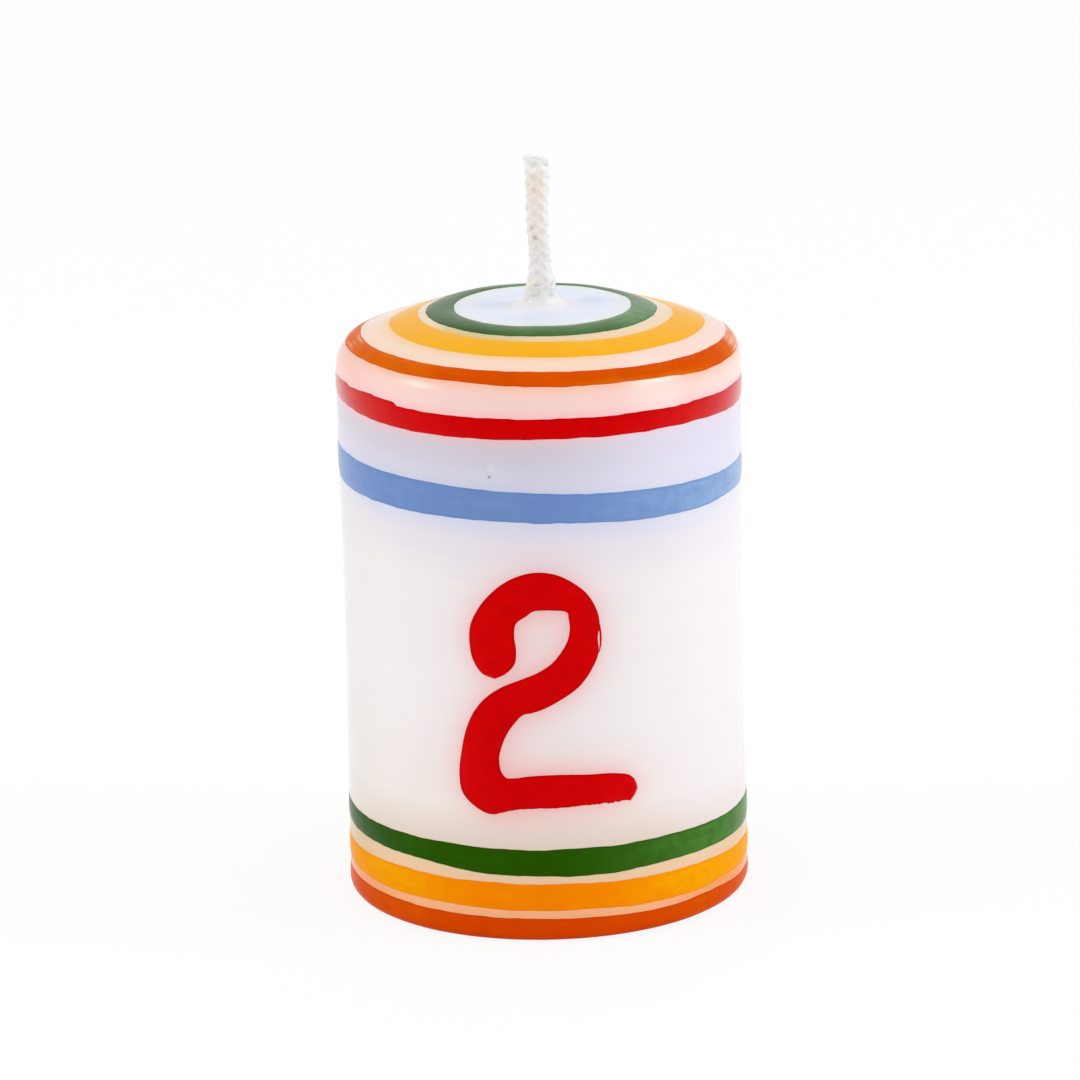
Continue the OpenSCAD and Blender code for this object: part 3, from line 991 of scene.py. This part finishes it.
# Painted glow: how much of the numeral's red light reaches each point of the wax, from the share of paint
# about it, weighed by distance
def numeralGlow(runs, angle):
    reach, fade, border, lanes = (glowSpread[key] for key in ("reach", "fade", "border", "lanes"))
    first, second, along = strokeEdges(numeral["ribs"])
    shares = (np.arange(lanes) + 0.5) / lanes
    painted = (first[:, None] + (second - first)[:, None] * shares[None, :, None]).reshape(-1, 2)
    area = np.repeat(np.linalg.norm(second - first, axis=1) * along[1] / lanes, lanes)
    whole = fullTurn * reach ** 2 * math.gamma(2 / fade) / fade
    across = fromFront(angle) * bodyForm["wallRadius"]
    wall = np.stack(np.meshgrid(across, heightToRun(runs)), -1).reshape(-1, 2)
    near = (wall > painted.min(0) - border) & (wall < painted.max(0) + border)
    near = np.where(near.all(axis=1))[0]
    glow = np.zeros(len(wall))
    for part in np.array_split(near, max(1, len(near) // 400)):
        apart = np.linalg.norm(wall[part, None] - painted[None], axis=2)
        glow[part] = (np.exp(-(apart / reach) ** fade) * area).sum(1) * glowSpread["strength"] / whole
    return glow * (1 - glowSpread["crowding"] * np.clip(glow, 0, 1))


def makeWaxBody():
    angle = roundAngles(waxForm["turns"])
    rows, runs = waxRows(angle)
    faces = gridFaces(len(rows), len(angle))
    piece = meshPiece("waxPillar", np.concatenate(rows), faces, waxMaterial())
    writeValues(piece, "glowRun", paintedRun(runs, angle) / baseRun)
    writeValues(piece, "numeralGlow", numeralGlow(runs, angle))
    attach(piece, "root")
    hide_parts("wax_body")
    return piece


waxPiece = makeWaxBody()
print("wax body made:", len(waxPiece.data.polygons), "faces")


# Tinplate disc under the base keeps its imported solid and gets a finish
def tinMaterial():
    material, tree, shader = newMaterial("rolledTinplate", **{"Metallic": 1.0, "IOR": 2.0})
    place = objectPlace(tree)
    roll = addNode(tree, "Mapping", Vector=place, Scale=(90.0, 2600.0, 900.0)).outputs["Vector"]
    lines = noise(tree, roll, 1.0, 3.0)
    dull = noise(tree, place, 420.0, 3.0)
    bright = mixColours(tree, lines, tint(196, 198, 202), tint(222, 224, 226))
    worn = mixColours(tree, mapped(tree, dull, 0.5, 0.75, 0.0, 0.5), bright, tint(170, 168, 164))
    tree.links.new(worn, shader.inputs["Base Color"])
    tree.links.new(mapped(tree, dull, 0.3, 0.7, 0.22, 0.42), shader.inputs["Roughness"])
    bumpInto(tree, shader, lines, 0.1, 0.03 * mm)
    return material


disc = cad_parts["wick_sustainer"]
disc.data.materials.clear()
disc.data.materials.append(tinMaterial())
print("sustainer finished in tinplate")

# Floor, light and camera
studio = {
    "floorSize": 6.0,
    "floorPoints": 13,  # along each side
    "floorTone": tint(251, 251, 251),
    "fleckTone": tint(253, 253, 253),
    "floorGlow": 0.86,  # share of plain white that the camera and the reflections see in the floor
    "frontLevel": 0.75,  # the side of the room behind the camera is dimmer
    "sideLevel": 0.92,
    "leftTone": (0.92, 0.905, 0.87, 1),
    "rightTone": (0.98, 0.993, 1.028, 1),
    # soft box to each side, which the shoulder of the candle mirrors
    "boxDistance": 0.8,
    "boxTurn": math.radians(80),
    "boxRise": math.radians(31),
    "boxes": {"left": (-1, 0.26, 0.17, 1.1), "right": (1, 0.34, 0.22, 1.4)},  # way, width, height, power
}


def direction(turn, rise):
    # away from the candle: turn from the front to the right, and rise
    return Vector((math.sin(turn) * math.cos(rise), -math.cos(turn) * math.cos(rise), math.sin(rise)))


def makeFloor():
    half, count = studio["floorSize"] / 2, studio["floorPoints"]
    steps = np.linspace(-half, half, count)
    points = [(x, y, 0.0) for y in steps for x in steps]
    material, tree, shader = newMaterial("paleFloor", **{"Specular IOR Level": 0.0, "Roughness": 0.9})
    fleck = noise(tree, objectPlace(tree), 40.0, 2.0)
    pale = mixColours(tree, fleck, studio["floorTone"], studio["fleckTone"])
    tree.links.new(pale, shader.inputs["Base Color"])
    path = addNode(tree, "LightPath").outputs
    mirrored = maths(tree, "MAXIMUM", path["Is Glossy Ray"], path["Is Transmission Ray"])
    seen = maths(tree, "MAXIMUM", path["Is Camera Ray"], mirrored)
    white = addNode(tree, "Emission", Strength=1.0)
    both = addNode(tree, "MixShader", Fac=times(tree, seen, studio["floorGlow"]))
    tree.links.new(shader.outputs[0], both.inputs[1])
    tree.links.new(white.outputs[0], both.inputs[2])
    tree.links.new(both.outputs[0], tree.nodes["Material Output"].inputs["Surface"])
    floor = meshPiece("floor", points, gridFaces(count, count, False, False), material)


def makeWorld():
    world = bpy.data.worlds.new("softStudio")
    bpy.context.scene.world = world
    world.use_nodes = True
    tree = world.node_tree
    back = tree.nodes["Background"].inputs
    axes = addNode(tree, "SeparateXYZ", Vector=addNode(tree, "TexCoord").outputs["Generated"]).outputs
    raised = plus(tree, axes["Y"], times(tree, axes["Z"], 0.3))
    level = mapped(tree, raised, -1.0, 0.1, studio["frontLevel"], studio["sideLevel"])
    aside = mapped(tree, axes["X"], -1.0, 1.0)
    tree.links.new(mixColours(tree, aside, studio["leftTone"], studio["rightTone"]), back["Color"])
    tree.links.new(level, back["Strength"])


def makeSoftBoxes():
    target = Vector((0, 0, bodyForm["crownHeight"]))
    for side, (way, width, height, power) in studio["boxes"].items():
        toward = direction(way * studio["boxTurn"], studio["boxRise"])
        lamp = bpy.data.lights.new(side + "SoftBox", "AREA")
        lamp.shape = "RECTANGLE"
        lamp.size, lamp.size_y, lamp.energy = width, height, power
        box = intoScene(side + "SoftBox", lamp)
        box.location = target + studio["boxDistance"] * toward
        box.rotation_euler = toward.to_track_quat("Z", "Y").to_euler()


view = {
    "distance": 600 * mm,
    "elevation": math.radians(15.516),
    "roll": math.radians(-1.281),
    "aim": Vector((-0.201, 0.0, 35.417)) * mm,
    "focalPixels": 6025.0,
    "framePixels": 1080.0,
    "sensor": 36.0,
    "nearest": 0.01,
}


def makeCamera():
    rise = view["elevation"]
    lens = bpy.data.cameras.new("camera")
    lens.sensor_width = view["sensor"]
    lens.lens = view["focalPixels"] / view["framePixels"] * view["sensor"]
    lens.clip_start = view["nearest"]
    camera = intoScene("camera", lens)
    place = Matrix.Translation(view["aim"] + view["distance"] * direction(0, rise))
    turn = Matrix.Rotation(math.pi / 2 - rise, 4, "X") @ Matrix.Rotation(view["roll"], 4, "Z")
    camera.matrix_world = place @ turn
    bpy.context.scene.camera = camera


makeFloor()
makeWorld()
makeSoftBoxes()
makeCamera()
bpy.context.scene.view_settings.view_transform = "Standard"
print("studio set")
